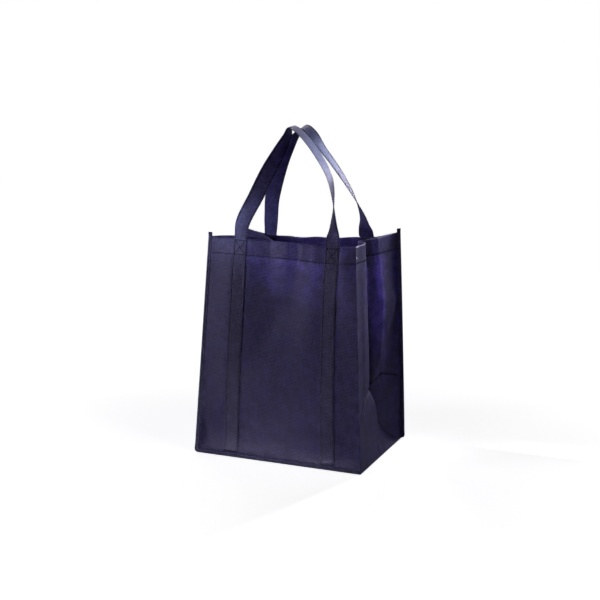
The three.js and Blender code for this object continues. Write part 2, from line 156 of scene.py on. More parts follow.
def fold_depth(chord):
    """Depth of a V of two half gussets over a chord."""
    return np.sqrt(np.maximum((DEPTH / 2) ** 2 - (chord / 2) ** 2, 0))


def left_fold(s, v, length):
    """Flaps from both edges, and below the fold's start the flat triangle between them, leaning in."""
    flap = np.maximum(np.minimum(v / PINCH_SHARE, 1) * DEPTH / 2, TINY)
    cosine = np.clip((length - DEPTH + 2 * flap) / (2 * flap), 0, 1)
    depth = np.minimum(np.minimum(s, DEPTH - s), flap) * np.sqrt(1 - cosine**2)
    far = np.where(s > DEPTH - flap, length - (DEPTH - s) * cosine, s - flap * (1 - cosine))
    return np.where(s < flap, s * cosine, far) / length, -depth


def right_fold(s, v, length):
    """A V whose near half bows out above the pinch. Below it the deepest crease runs off to the back corner,
    the cloth before it has a ridge up its middle, and beside the bottom it all comes out to the bottom edge
    as a shelf."""
    half = DEPTH / 2
    share = np.minimum(s, DEPTH - s) / half
    grown = np.clip((v - PINCH_SHARE) / (1 - PINCH_SHARE), 0, 1)
    p = s / half
    hump = smooth(np.where(p < NEAR_BOW_PLACE, p / NEAR_BOW_PLACE, (1 - p) / (1 - NEAR_BOW_PLACE)))
    pinch_v = np.array(PINCH_SHARE)
    pinch = fold_depth(np.linalg.norm(edge(1, pinch_v) - edge(2, pinch_v)))
    rise = np.minimum(v * HEIGHT / SHELF_HEIGHT, 1)
    above = NEAR_BOW * grown**NEAR_BOW_START * hump - share * fold_depth(length)
    crease = np.interp(v * HEIGHT, *DEEP_CREASE)
    middle = np.interp(v * HEIGHT, *MIDDLE_SHARE)
    beyond = middle + (1 - middle) * (s - half) / np.maximum(crease - half, TINY)
    beyond = np.where(s < crease, beyond, (DEPTH - s) / (DEPTH - crease))
    folded = np.where(s < half, middle * s / half, beyond)
    below = -folded * pinch * (1 - (1 - rise) ** 2)
    over = smooth((v * HEIGHT - np.interp(s, *NEAR_CREASE)) / CREASE_BLEND + 0.5)
    return s / DEPTH, below + over * (above - below)


BENDS = (panel_bend(FRONT_RIM), right_fold, panel_bend(BACK_RIM), left_fold)


def plan(panel, s, v):
    """Plan of the sheet at distance s along a panel and share v of the height."""
    s, v = np.broadcast_arrays(np.asarray(s, float), np.asarray(v, float))
    a, b = edge(panel, v), edge(panel + 1, v)
    chord = b - a
    length = np.linalg.norm(chord, axis=-1)
    share, out = BENDS[panel](s, v, length)
    across = np.stack([chord[..., 1], -chord[..., 0]], -1)
    return a + chord * share[..., None] + across * (out / length)[..., None]


def wall(panel, s, v):
    """Middle of the sheet: a line of cloth that leans keeps its length, apart from the rim's sag."""
    s, v = np.broadcast_arrays(np.asarray(s, float), np.asarray(v, float))
    base = BASE[panel] + (s / WIDTHS[panel])[..., None] * (BASE[(panel + 1) % 4] - BASE[panel])
    lean = ((plan(panel, s, np.ones_like(v)) - base) ** 2).sum(-1)
    rim = np.sqrt(HEIGHT**2 - lean) + np.interp(s, *SAGS[panel])
    return np.concatenate([plan(panel, s, v), (v * rim)[..., None]], -1)


# Soft creases: panel, place along it, height, direction of the crease from level, half length, half width,
# height out
CREASES = (
    (0, 292, 14, 150, 10, 3.0, 0.9),
    (0, 284, 22, 160, 9, 3.0, -0.8),
    (0, 20, 16, 40, 10, 3.5, 0.8),
    (0, 150, 90, 80, 60, 34, -1.6),
    (0, 190, 190, 84, 90, 34, 1.6),
    (0, 128, 235, 65, 60, 18, -1.4),
    (1, 110, 125, 90, 7, 8, -7.0),
    (1, 40, 180, 90, 120, 7, 0.8),
    (2, 90, 190, 86, 110, 30, 2.0),
    (2, 180, 120, 95, 90, 34, -1.8),
    (2, 210, 290, 80, 60, 18, 1.6),
    (3, 60, 240, 92, 100, 12, 2.2),
    (3, 160, 230, 88, 110, 14, -2.0),
    (3, 108, 60, 90, 30, 20, 1.5),
)
# Sharp creases: panel, one end, the other, reach on the left of that way and on its right, height out
FOLDS = (
    (0, (46, 30), (44, 375), 26, 34, 4.0),
    (0, (259, 20), (258, 360), 46, 24, 6.5),
    (1, (110, 120), (127, 95), 8, 8, -2.0),
    (1, (126, 97), (149, 47), 8, 8, -2.0),
    (1, (148, 49), (200, 3), 8, 8, -1.6),
    (1, (108, 110), (108, 24), 8, 12, 2.6),
    (1, (106, 122), (38, 110), 8, 6, -1.8),
    (1, (44, 112), (2, 82), 8, 6, -1.8),
    (1, (160, 214), (212, 272), 24, 10, 2.4),
    (1, (110, 124), (152, 138), 8, 14, -3.0),
    (1, (148, 137), (208, 122), 8, 12, -2.6),
    (1, (108, 19), (108, 4), 4, 4, -1.2),
)
# A ridge up the far half of the right gusset, by height: its place along the panel, and how far it stands out
RIDGE_PLACE = table((PINCH_HEIGHT, 120), (178, 146), (265, 156), (HEIGHT, 150))
RIDGE_RISE = table((PINCH_HEIGHT, 0), (178, 5.0), (240, 7.0), (275, 9.0), (HEIGHT, 8.0))
# Flutes hang from the mouth between the straps: places of their valleys and ridges, and their heights out
FLUTES = table(
    (STRAP_END - 2, 3.2), (112, -4.6), (120, -4.6), (149, 4.2), (156, 4.2), (174, -2.2), (180, -2.2),
    (202, 3.0), (210, 3.0), (WIDTH - STRAP_END, -0.5), (WIDTH - STRAP_INSET, 0),
)  # fmt: skip
FLUTE_REACH = 50.0
FLARE, FLARE_HEIGHT = 6.0, 34.0  # how far front and back dip in above the bottom edge, and where most
TAPER, TIP = 0.3, 0.3  # share of a sharp crease that fades out at each end, and the level at its tip
EDGE_FADE = 14.0  # relief dies out over this beside a panel's edges


def fade(d, left, right):
    """1 on a line and falling off either side of it, by a reach for each side."""
    return np.exp(-np.abs(d) / np.where(d > 0, left, right))


def relief(panel, s, t):
    """How far the cloth stands out: soft and sharp creases that fade along and across, flutes that hang from
    the mouth, a ridge up the right gusset, and a dip above the bottom edge. It is nothing at the panel's own
    edges and at the bottom."""
    out = np.zeros(np.broadcast(s, t).shape)
    for _, s0, t0, turn, long, wide, high in (c for c in CREASES if c[0] == panel):
        a = np.radians(turn)
        along = (s - s0) * np.cos(a) + (t - t0) * np.sin(a)
        across = (t - t0) * np.cos(a) - (s - s0) * np.sin(a)
        out = out + high * np.exp(-((along / long) ** 2) - (across / wide) ** 2)
    for _, start, end, left, right, high in (c for c in FOLDS if c[0] == panel):
        way = np.subtract(end, start)
        length = np.hypot(*way)
        along = ((s - start[0]) * way[0] + (t - start[1]) * way[1]) / length**2
        across = ((t - start[1]) * way[0] - (s - start[0]) * way[1]) / length
        taper = smooth(along / TAPER + TIP) * smooth((1 - along) / TAPER + TIP)
        out = out + high * taper * fade(across, left, right)
    if panel in (0, 2):
        place, height = FLUTES
        wave = np.interp(np.broadcast_to(s, out.shape).ravel(), place, height, 0, 0).reshape(out.shape)
        out = out + wave * np.exp(-(HEIGHT - t) / FLUTE_REACH)
    if panel == 1:
        ridge = np.interp(t, *RIDGE_PLACE)
        tent = np.where(s < ridge, (s - DEPTH / 2) / (ridge - DEPTH / 2), (DEPTH - s) / (DEPTH - ridge))
        out = out + np.interp(t, *RIDGE_RISE) * np.maximum(tent, 0)
    low = t / FLARE_HEIGHT
    dip = FLARE * low * np.exp(1 - low) if panel in (0, 2) else 0
    sides = smooth(s / EDGE_FADE) * smooth((WIDTHS[panel] - s) / EDGE_FADE)
    return (out * smooth(t / EDGE_FADE) - dip) * sides


def surface(panel, s, v):
    """Points of the creased sheet and their outward normals."""
    s, v = np.broadcast_arrays(np.asarray(s, float), np.asarray(v, float))
    ds, dv = 0.5, 0.002
    s0, s1 = np.maximum(s - ds, 0), np.minimum(s + ds, WIDTHS[panel])
    v0, v1 = np.maximum(v - dv, 0), np.minimum(v + dv, 1)
    across, up = wall(panel, s1, v) - wall(panel, s0, v), wall(panel, s, v1) - wall(panel, s, v0)
    normal = unit(np.cross(across, up))
    return wall(panel, s, v) + normal * relief(panel, s, v * HEIGHT)[..., None], normal


def make_mesh(name, points, quads, tris, uv, material):
    """A smooth mesh from arrays of points, faces as point numbers, and cloth coordinates of the face corners,
    with the lengths in millimetres."""
    tris = np.asarray(tris, int).reshape(-1, 3)
    corners = np.concatenate([quads.ravel(), tris.ravel()]).astype(np.int32)
    starts = np.concatenate([4 * np.arange(len(quads)), 4 * len(quads) + 3 * np.arange(len(tris))])
    starts = starts.astype(np.int32)
    mesh = bpy.data.meshes.new(name)
    mesh.vertices.add(len(points))
    mesh.vertices.foreach_set("co", (np.asarray(points) * MM).astype(np.float32).ravel())
    mesh.loops.add(len(corners))
    mesh.loops.foreach_set("vertex_index", corners)
    mesh.polygons.add(len(starts))
    mesh.polygons.foreach_set("loop_start", starts)
    mesh.polygons.foreach_set("use_smooth", np.ones(len(starts), bool))
    if uv is not None:
        mesh.uv_layers.new(name="cloth").uv.foreach_set("vector", (uv * MM).astype(np.float32).ravel())
    mesh.update(calc_edges=True)
    piece = bpy.data.objects.new(name, mesh)
    bpy.context.scene.collection.objects.link(piece)
    mesh.materials.append(material)
    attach(piece, "root")
    return piece


def ring_quads(rows, columns):
    """Faces between closed rings of points: each ring's last point joins its first."""
    i = np.arange(rows - 1)[:, None] * columns
    j = np.arange(columns)
    k = (j + 1) % columns
    return np.stack([i + j, i + k, i + columns + k, i + columns + j], -1).reshape(-1, 4)


def end_fans(rows, columns):
    """Faces from the first ring and the last one to two points that are numbered after all the rings."""
    j = np.arange(columns)
    k = (j + 1) % columns
    last, hub = (rows - 1) * columns, np.full(columns, rows * columns)
    return np.concatenate([np.stack([k, j, hub], -1), np.stack([last + j, last + k, hub + 1], -1)])


def ring_corners(u, t):
    """Cloth coordinates of those faces' corners: u has one value more than a ring has points, to close it."""
    r, c = np.meshgrid(np.arange(len(t) - 1), np.arange(len(u) - 1), indexing="ij")
    corners = ((r, c), (r, c + 1), (r + 1, c + 1), (r + 1, c))
    return np.stack([np.stack([u[j], t[i]], -1) for i, j in corners], -2).reshape(-1, 2)


# Shader nodes


class Value:
    """A socket that carries a number, with Python's operators as Math nodes."""

    def __init__(self, finish, socket):
        self.finish, self.socket = finish, socket

    def math(self, operation, *others):
        return self.finish.node("Math", {"operation": operation}, dict(enumerate((self, *others))))

    def __add__(self, other):
        return self.math("ADD", other)

    __radd__ = __add__

    def __sub__(self, other):
        return self.math("SUBTRACT", other)

    def __rsub__(self, other):
        return self.finish.node("Math", {"operation": "SUBTRACT"}, {0: other, 1: self})

    def __mul__(self, other):
        return self.math("MULTIPLY", other)

    __rmul__ = __mul__


class Finish:
    """One material or world: its nodes are made through node(), and its main shader is surface."""

    def __init__(self, owner, main):
        owner.use_nodes = True
        self.owner, self.tree = owner, owner.node_tree
        self.surface = self.tree.nodes[main]

    def put(self, socket, value):
        if isinstance(value, Value):
            self.tree.links.new(value.socket, socket)
        else:
            socket.default_value = value

    def node(self, kind, settings=None, sockets=None, out=0):
        """A new node of that kind: its settings first, then the values or links of its sockets."""
        new = self.tree.nodes.new("ShaderNode" + kind)
        for key, value in (settings or {}).items():
            setattr(new, key, value)
        for key, value in (sockets or {}).items():
            self.put(new.inputs[key], value)
        return Value(self, new.outputs[out])

    def set(self, **sockets):
        for key, value in sockets.items():
            self.put(self.surface.inputs[key.replace("_", " ")], value)

    def blend(self, share, a, b):
        """Colour a turning into b."""
        return self.node("Mix", {"data_type": "RGBA"}, {0: share, 6: a, 7: b}, out=2)

    def step(self, value, low, high):
        """0 to 1 as the value goes from low to high, smoothly."""
        return self.node("MapRange", {"interpolation_type": "SMOOTHSTEP"}, {0: value, 1: low, 2: high})


def new_finish(name):
    return Finish(bpy.data.materials.new(name), "Principled BSDF")


def rgb(r, g, b):
    return (r, g, b, 1.0)


def darker(share, colour):
    """A colour times a share."""
    return tuple(share * c for c in colour[:3]) + (1.0,)


# Non-woven cloth: what colour comes through it, the colour of the shade painted into its creases, its shine's
# tints, and its grain in metres
GLOW, CREASE_SHADE_COLOUR = rgb(0.5, 0.43, 0.95), rgb(0.008, 0.007, 0.012)
SHINE_TINT, HAZE_TINT = rgb(0.65, 0.6, 1.0), rgb(0.55, 0.5, 1.0)
COAT, COAT_BLUR, HAZE, HAZE_BLUR = 0.15, 0.42, 0.12, 0.4
DOT_PITCH, DOT_SLANT, DOT_EDGE = 0.0034, 1.4, 0.6
DOT_DEEP, FIBRE_HIGH, CLOUD_HIGH = 0.0004, 0.0008, 0.0012
# Its colour's shares between clumps of fibre and on them, in thin clouds, and in the pressed dots
BARE, CLUMPED, THIN, PRESSED = 0.3, 2.0, 0.4, 0.15
THIN_BLEND, PRESSED_BLEND = 0.35, 0.8
FIBRES = {"Scale": 320.0, "Detail": 1.0, "Roughness": 0.6}
CLOUDS = {"Scale": 45.0, "Detail": 4.0, "Roughness": 0.6}
HEM_SHADE, HEM_BLUR = 0.43, 0.0008  # how much less light comes through the doubled hem, and its edge
# Painted shade in the right gusset's creases, pinch and valley: one end, the other, half width, strength
PAINTED_CREASE_SHADE = (
    ((108, 124), (38, 110), 4, 0.5),
    ((38, 110), (2, 82), 4, 0.4),
    ((108, 116), (108, 31), 5, 0.35),
    ((109, 122), (127, 95), 5, 0.6),
    ((127, 95), (149, 47), 5, 0.5),
    ((149, 47), (197, 5), 5, 0.3),
    ((110, 125), (152, 138), 4, 0.5),
    ((152, 138), (208, 122), 4, 0.5),
    ((106, 127), (111, 121), 7, 0.95),
    ((108, 19), (108, 4), 4, 0.5),
    ((111, 128), (113, 250), 16, 0.55),
)


def painted_crease_shade(f, u, t):
    """How much painted shade a place gets: each line's strength on it, falling off to nothing at its half
    width.
    """
    painted_shade = 0.0
    for (s0, t0), (s1, t1), wide, strong in PAINTED_CREASE_SHADE:
        way = np.array([s1 - s0, t1 - t0]) * MM
        length = np.hypot(*way)
        a, b = u - (WIDTH + s0) * MM, t - t0 * MM
        along = a * (way[0] / length) + b * (way[1] / length)
        over = (along - length / 2).math("ABSOLUTE") - length / 2
        beside = a * (-way[1] / length) + b * (way[0] / length)
        over = over.math("MAXIMUM", 0.0)
        off = (over * over + beside * beside).math("SQRT")
        painted_shade = (1 - f.step(off, 0.0, wide * MM)) * strong + painted_shade
    return painted_shade.math("MINIMUM", 1.0)


def nonwoven(name, colour, through, shine, hem_edge=None):
    """Spun-bonded cloth: rows of bonded dots pressed in on a slant, clumps of fibre between them, and faint
    clouds where the fibres lie thicker. Some light comes through it, less where the cloth is doubled."""
    f = new_finish(name)
    uv = f.node("UVMap", {"uv_map": "cloth"})
    part = f.node("SeparateXYZ", sockets={0: uv})
    u, t = (Value(f, part.socket.node.outputs[k]) for k in (0, 1))
    turn = 2 * np.pi / DOT_PITCH / DOT_SLANT
    pressed = f.step(((u + t) * turn).math("SINE") * ((u - t) * turn).math("SINE"), 0.0, DOT_EDGE)
    fibres = f.node("TexNoise", None, {"Vector": uv, **FIBRES})
    clouds = f.node("TexNoise", None, {"Vector": uv, **CLOUDS})
    thick = f.step(clouds, 0.35, 0.65)
    clump = f.step(fibres, 0.4, 0.6)
    tone = f.blend(clump, darker(BARE, colour), darker(CLUMPED, colour))
    tone = f.blend(thick, f.blend(THIN_BLEND, tone, darker(THIN, colour)), tone)
    tone = f.blend(pressed * PRESSED_BLEND, tone, darker(PRESSED, colour))
    share = through * (0.7 + thick * 0.6) * (0.5 + pressed * 1.2)
    height = (1 - pressed) * DOT_DEEP + fibres * FIBRE_HIGH + clouds * CLOUD_HIGH
    bump = f.node("Bump", None, {"Strength": 0.8, "Distance": 1.0, "Height": height})
    f.set(Base_Color=tone, Roughness=fibres * 0.3 + 0.3, Normal=bump)
    f.set(Specular_IOR_Level=shine, Specular_Tint=SHINE_TINT)
    f.set(Coat_Weight=clump * (1 - pressed * PRESSED_BLEND) * COAT, Coat_Roughness=COAT_BLUR)
    f.set(Sheen_Weight=HAZE, Sheen_Roughness=HAZE_BLUR, Sheen_Tint=HAZE_TINT)
    if hem_edge is not None:
        share = share * (1 - f.step(t, hem_edge - HEM_BLUR, hem_edge + HEM_BLUR) * HEM_SHADE)
    light = f.node("BsdfTranslucent", None, {"Color": GLOW})
    whole = f.node("MixShader", None, {0: share, 1: Value(f, f.surface.outputs[0]), 2: light})
    if hem_edge is not None:
        # Painted shade: a dark matte sheet mixed over the cloth along the right gusset's creases, pinch and
        # valley
        painted_shade_bsdf = f.node("BsdfDiffuse", None, {"Color": CREASE_SHADE_COLOUR})
        whole = f.node("MixShader", None, {0: painted_crease_shade(f, u, t), 1: whole, 2: painted_shade_bsdf})
    f.put(f.tree.nodes["Material Output"].inputs["Surface"], whole)
    return f.owner


def thread_finish(name, colour):
    """Twisted thread: fine slanting plies across it."""
    f = new_finish(name)
    spot = f.node("TexCoord", out=3)
    lay = {"Vector": spot, "Scale": 900.0, "Distortion": 1.0}
    plies = f.node("TexWave", {"bands_direction": "DIAGONAL"}, lay)
    tone = f.blend(plies, darker(0.6, colour), colour)
    bump = f.node("Bump", None, {"Strength": 0.4, "Distance": 0.0002, "Height": plies})
    f.set(Base_Color=tone, Roughness=0.8, Normal=bump, Specular_IOR_Level=0.15)
    return f.owner


def board_finish(name, colour):
    """Pressed board: fine grain and faint cloudy streaks along it."""
    f = new_finish(name)
    spot = f.node("TexCoord", out=3)
    grain = f.node("TexNoise", None, {"Vector": spot, "Scale": 700.0, "Detail": 3.0})
    drawn = f.node("Mapping", None, {0: spot, 3: (4.0, 40.0, 4.0)})
    streak = f.node("TexNoise", None, {"Vector": drawn, "Scale": 3.0})
    tone = f.blend(streak, darker(0.7, colour), colour)
    bump = f.node("Bump", None, {"Strength": 0.3, "Distance": 0.0003, "Height": grain})
    f.set(Base_Color=tone, Roughness=grain * 0.2 + 0.45, Normal=bump)
    return f.owner


cloth_finish = nonwoven(
    "navy_nonwoven", rgb(0.044, 0.036, 0.094), through=0.36, shine=0.55, hem_edge=(HEIGHT - HEM) * MM
)
strap_finish = nonwoven("navy_strap", rgb(0.039, 0.0325, 0.077), through=0.15, shine=0.55)
tape_finish = nonwoven("navy_tape", rgb(0.044, 0.040, 0.092), through=0.1, shine=0.5)
stitch_finish = thread_finish("navy_thread", rgb(0.003, 0.0028, 0.007))
insert_finish = board_finish("base_board", rgb(0.016, 0.015, 0.028))

# Cloth

FINE = np.array([0.5, 1.2, 2.4, 4.2])  # places beside a panel's ends
PITCHES = (4.4, 1.6, 6.0, 4.6)
HEM_LINE = 1 - HEM / HEIGHT
# Rows by share of the height: at the foot, close ones past the pinch, wide ones above, and those of the hem
FOOT_ROWS, CLOSE_START, CLOSE_TOP, CLOSE_STEP = [0, 0.001, 0.003, 0.007], 3, PINCH_HEIGHT + 18, 2
WIDE_ROWS, HEM_FIRST, HEM_SECOND, HEM_ROWS = 46, HEM_LINE + 0.002, HEM_LINE + 0.012, 10
RIM_RISE = 0.6  # how far the rim's middle rises over its edges, in cloth thicknesses
BOTTOM_RINGS = np.array([0.25, 0.5, 0.75, 0.93, 0.985, 0.996])[:, None, None]
EASE_ROUNDS, EASE_GAP = 2, 4.0  # wide steps along a row are eased, and the close ones of a crease are kept


def spread(width, pitch):
    """Places along a panel, without its end: even steps, and closer ones beside both ends."""
    even = np.linspace(0, width, int(round(width / pitch)) + 1)
    inner = even[(even > FINE[-1] + 1) & (even < width - FINE[-1] - 1)]
    return np.concatenate([[0], FINE, inner, (width - FINE)[::-1]])


def bag_cloth():
    """The folded sheet as one closed skin. Rings of points go from the middle of the underside out to its
    edge, up the outside of the walls, over the rim, down the doubled hem, down the inside and in over the
    bottom."""
    columns = [spread(w, pitch) for w, pitch in zip(WIDTHS, PITCHES)]
    close = np.arange(CLOSE_START, CLOSE_TOP, CLOSE_STEP) / HEIGHT
    wide = np.linspace(CLOSE_TOP / HEIGHT, HEM_LINE, WIDE_ROWS)
    hem = np.linspace(HEM_SECOND, 1, HEM_ROWS)
    v = np.unique(np.concatenate([FOOT_ROWS, close, wide, [HEM_FIRST], hem]))
    middle = np.concatenate([surface(p, s, v[:, None])[0] for p, s in enumerate(columns)], 1)
    corner = np.zeros(middle.shape[1], bool)
    corner[np.cumsum([0] + [len(s) for s in columns[:3]])] = True
    for _ in range(EASE_ROUNDS):
        eased = (np.roll(middle, 1, 1) + 2 * middle + np.roll(middle, -1, 1)) / 4
        gap = np.abs(np.roll(middle, -1, 1) - np.roll(middle, 1, 1)).sum(-1)
        keep = corner | np.roll(corner, 1) | np.roll(corner, -1)
        middle = np.where((keep | (gap < EASE_GAP))[..., None], middle, eased)
    along = np.roll(middle, -1, 1) - np.roll(middle, 1, 1)
    normal = unit(np.cross(along, np.gradient(middle, axis=0)))
    normal[:2, :, 2] = 0
    normal = unit(normal)
    outside = middle + normal * CLOTH / 2
    outside[0, :, 2] = 0
    inside = middle - normal * (CLOTH / 2 + np.where(v > HEM_LINE, CLOTH, 0))[:, None, None]
    inside[:, :, 2] = np.maximum(inside[:, :, 2], CLOTH)
    under_hub, bottom_hub = np.zeros(3), np.array([0, 0, CLOTH])
    under = under_hub + BOTTOM_RINGS * (outside[0] - under_hub)
    bottom = bottom_hub + BOTTOM_RINGS[::-1] * (inside[0] - bottom_hub)
    rim = (outside[-1] + inside[-1]) / 2 + [0, 0, CLOTH * RIM_RISE]
    rings = np.concatenate([under, outside, rim[None], inside[::-1], bottom])
    u = np.concatenate([*(s + sum(WIDTHS[:p]) for p, s in enumerate(columns)), [sum(WIDTHS)]])
    floor_t = (BOTTOM_RINGS[:, 0, 0] - 1) * DEPTH / 2
    t = np.concatenate([floor_t, v * HEIGHT, [HEIGHT + 1], v[::-1] * HEIGHT, floor_t[::-1]])
    rows, count = rings.shape[:2]
    points = np.concatenate([rings.reshape(-1, 3), [under_hub, bottom_hub]])
    hub = np.stack([np.stack([u[1:], u[:-1], u[:-1]], -1), np.full((count, 3), -DEPTH / 2)], -1)
    corners = np.concatenate([ring_corners(u, t), hub.reshape(-1, 2), hub.reshape(-1, 2)])
    quads, tris = ring_quads(rows, count), end_fans(rows, count)
    return make_mesh("bag_cloth", points, quads, tris, corners, cloth_finish)


class Ribbon:
    """A strap or tape: rows of points across it, the normals of its face, and its half thickness there."""

    def __init__(self, points, normals, half):
        self.points, self.normals = points, normals
        self.half = np.broadcast_to(half, points.shape[:2])
        self.length = distance(points[:, points.shape[1] // 2])

    def line(self, share, side):
        """Points and normals of a line along its face, at a share of its width."""
        at = share * (self.points.shape[1] - 1)
        i = int(min(at, self.points.shape[1] - 2))

        def mix(a):
            return a[:, i] + (at - i) * (a[:, i + 1] - a[:, i])

        normal = side * unit(mix(self.normals))
        return mix(self.points) + normal * mix(self.half)[:, None], normal

    def make(self, name, material):
        """Its skin: round each row over the face and back under it, with both ends closed."""
        lift = self.normals * self.half[..., None]
        rings = np.concatenate([self.points + lift, (self.points - lift)[:, ::-1]], 1)
        rows, count = rings.shape[:2]
        width = distance(self.points[len(self.points) // 2])
        u = np.concatenate([width, 2 * width[-1] - width[::-1], [2 * width[-1]]])
        j = np.arange(count // 2 - 1)
        cap = np.stack([count - 1 - j, count - 2 - j, j + 1, j], -1)
        ends = np.concatenate([cap[:, ::-1], cap + (rows - 1) * count])
        quads = np.concatenate([ring_quads(rows, count), ends])
        end_corners = np.zeros((len(ends) * 4, 2))
        corners = np.concatenate([ring_corners(u, self.length), end_corners])
        points = rings.reshape(-1, 3)
        a, b, c = rings[rows // 2, 1], rings[rows // 2, 2], rings[rows // 2 + 1, 1]
        if np.cross(b - a, c - a) @ lift[rows // 2, 1] < 0:
            quads = quads[:, ::-1]
            corners = corners.reshape(-1, 4, 2)[:, ::-1].reshape(-1, 2)
        return make_mesh(name, points, quads, (), corners, material)


# Straps

STRAP_ACROSS = np.array([-0.5, -0.485, -0.45, -0.4, -0.3, -0.15, 0, 0.15, 0.3, 0.4, 0.45, 0.485, 0.5])
# Shares of the width from the middle: each line of stitches, and where the edge begins to round
STRAP_STITCH, STITCH_SPREAD, STITCH_DRAW = 0.4, 0.035, 0.45
EDGE_START, EDGE_REACH, EDGE_THIN = 0.44, 0.062, 0.03
RUN_ROWS, LOOP_ROWS, CURVE_STEPS, TWIST_ROUNDS = 110, 181, 4000, 6
LEAVE = 30.0  # height above the mouth in which a strap leaves its panel's slope


def strap_half():
    """Half thickness across a doubled strap: round edges, drawn in along both lines of stitches."""
    w = np.abs(STRAP_ACROSS)
    edge_round = np.sqrt(np.clip(1 - ((w - EDGE_START) / EDGE_REACH).clip(0) ** 2, EDGE_THIN, 1))
    drawn = 1 - STITCH_DRAW * np.exp(-(((w - STRAP_STITCH) / STITCH_SPREAD) ** 2))
    return STRAP_THICKNESS / 2 * edge_round * drawn


def sewn_run(panel, start, end):
    """A strap's run up a panel, from just above the bottom tape to the mouth."""
    lift = CLOTH / 2 + GAP + STRAP_THICKNESS / 2
    first = (SEAM + 3 * GAP + TAPE) / HEIGHT
    v = np.linspace(first, 1, RUN_ROWS)[:, None]
    points, normal = surface(panel, start + (STRAP_ACROSS + 0.5) * (end - start), v)
    return points + normal * lift, normal * (1 if panel == 0 else -1)


def smooth_curve(spots, count):
    """Evenly spaced points on the centripetal spline through some spots, its ends carried on straight."""
    p = np.vstack([2 * spots[0] - spots[1], spots, 2 * spots[-1] - spots[-2]])
    t = np.concatenate([[0], np.cumsum(np.linalg.norm(np.diff(p, axis=0), axis=-1) ** 0.5)])
    x = np.linspace(t[1], t[-2], CURVE_STEPS)
    i = np.clip(np.searchsorted(t, x, side="right") - 1, 1, len(p) - 3)

    def mix(a, b, ta, tb):
        return a + (b - a) * ((x - ta) / (tb - ta))[:, None]

    a1, a2, a3 = (mix(p[i + k - 1], p[i + k], t[i + k - 1], t[i + k]) for k in (0, 1, 2))
    b1, b2 = mix(a1, a2, t[i - 1], t[i + 1]), mix(a2, a3, t[i], t[i + 2])
    c = mix(b1, b2, t[i], t[i + 1])
    length = distance(c)
    even = np.linspace(0, length[-1], count)
    return np.column_stack([np.interp(even, length, c[:, k]) for k in range(3)])


def strap_loop(left, right, crown, left_leg, right_leg, ends, roll):
    """The free loop between two strap ends: legs come in by their own lines and lean over early, and the
    strap turns from facing the front to facing down at its crown, and by the roll further just past it.
    Beside its ends it lies across as the sewn runs do."""

    def spots(end, leg):
        rise, inward = np.array(leg, float).T
        return np.column_stack([
            end[0] + (crown[0] - end[0]) * inward,
            end[1] + (crown[1] - end[1]) * np.sin(np.pi / 2 * rise),
            end[2] + (crown[2] - end[2]) * rise,
        ])  # fmt: skip

    path = np.vstack([spots(left, left_leg), crown, spots(right, right_leg)[::-1]])
    centre = smooth_curve(path, LOOP_ROWS)
    tangent = unit(np.gradient(centre, axis=0))
    top = int(centre[:, 2].argmax())
    before = np.arange(len(centre)) <= top
    low = np.where(before, left[2], right[2])
    up = np.clip((centre[:, 2] - low) / (centre[top, 2] - low), 0, 1)
    twist = np.radians(CROWN_TWIST) * np.where(before, up**TWIST_SLOW, 1 - (1 - up) ** TWIST_QUICK)
    for _ in range(TWIST_ROUNDS):
        twist[1:-1] = (twist[:-2] + 2 * twist[1:-1] + twist[2:]) / 4
    past = (np.arange(len(centre)) - top - ROLL_PLACE) / ROLL_REACH
    twist = twist + np.radians(roll) * np.exp(-past * past)
    front = unit(np.array([0, -1.0, 0]) + tangent * tangent[:, 1:2])
    within = np.cross(tangent, front)
    normal = np.cos(twist)[:, None] * front + np.sin(twist)[:, None] * within
    side = np.cross(tangent, normal)
    for end, rise in ((ends[0], centre[:, 2] - left[2]), (ends[1], centre[:, 2] - right[2])):
        share = np.where(before if end is ends[0] else ~before, 1 - smooth(rise / LEAVE), 0)[:, None]
        side = unit(side + share * (end - side))
    normal = unit(np.cross(side, tangent))
    points = centre[:, None] + STRAP_WIDTH * STRAP_ACROSS[None, :, None] * side[:, None]
    return points[1:-1], np.broadcast_to(normal[1:-1, None], points[1:-1].shape)


def strap(panel, crown, left_leg, right_leg):
    """One strap: up the panel, over as a loop and down again."""
    near, far = (STRAP_INSET, STRAP_END), (WIDTH - STRAP_INSET, WIDTH - STRAP_END)
    left, right = sewn_run(panel, *near), sewn_run(panel, *far)
    if panel == 2:
        left, right = right, left
    m = len(STRAP_ACROSS) // 2
    tops = [run[0][-1, m] for run in (left, right)]
    sides = [unit(run[0][-1, -1] - run[0][-1, 0]) for run in (left, right)]
    top = np.add(crown, [0, 0, HEIGHT])
    loop = strap_loop(*tops, top, left_leg, right_leg, sides, BACK_ROLL if panel == 2 else 0)
    rows = [np.concatenate([left[i], loop[i], right[i][::-1]]) for i in (0, 1)]
    return Ribbon(rows[0], rows[1], strap_half())


# Binding tape

TAPE_ACROSS = np.array([0, 0.03, 0.12, 0.3, 0.5, 0.7, 0.85, 0.94, 0.98, 1.0])
UPRIGHT_ROWS, EAR_ROWS, FAN_ROWS, BOTTOM_ROWS = 130, 5, 16, 120
EAR_CLEAR, FAN_CLEAR = 0.8, 2  # where the ear's last row and the bottom's first row stand clear of the next
RIPPLES = ((0.06, 8.5, 0), (0.04, 21, 1))  # share of the thickness, length and phase
# Across the tape: where its fold begins to round and how far, its thin start, and the line drawn in by thread
FOLD_START, FOLD_REACH, FOLD_THIN = 0.85, 0.152, 0.04
START_SHARE, START_REACH = 0.75, 0.12
DRAWN_PLACE, DRAWN_REACH, DRAWN_SHARE = 0.3, 0.12, 0.3


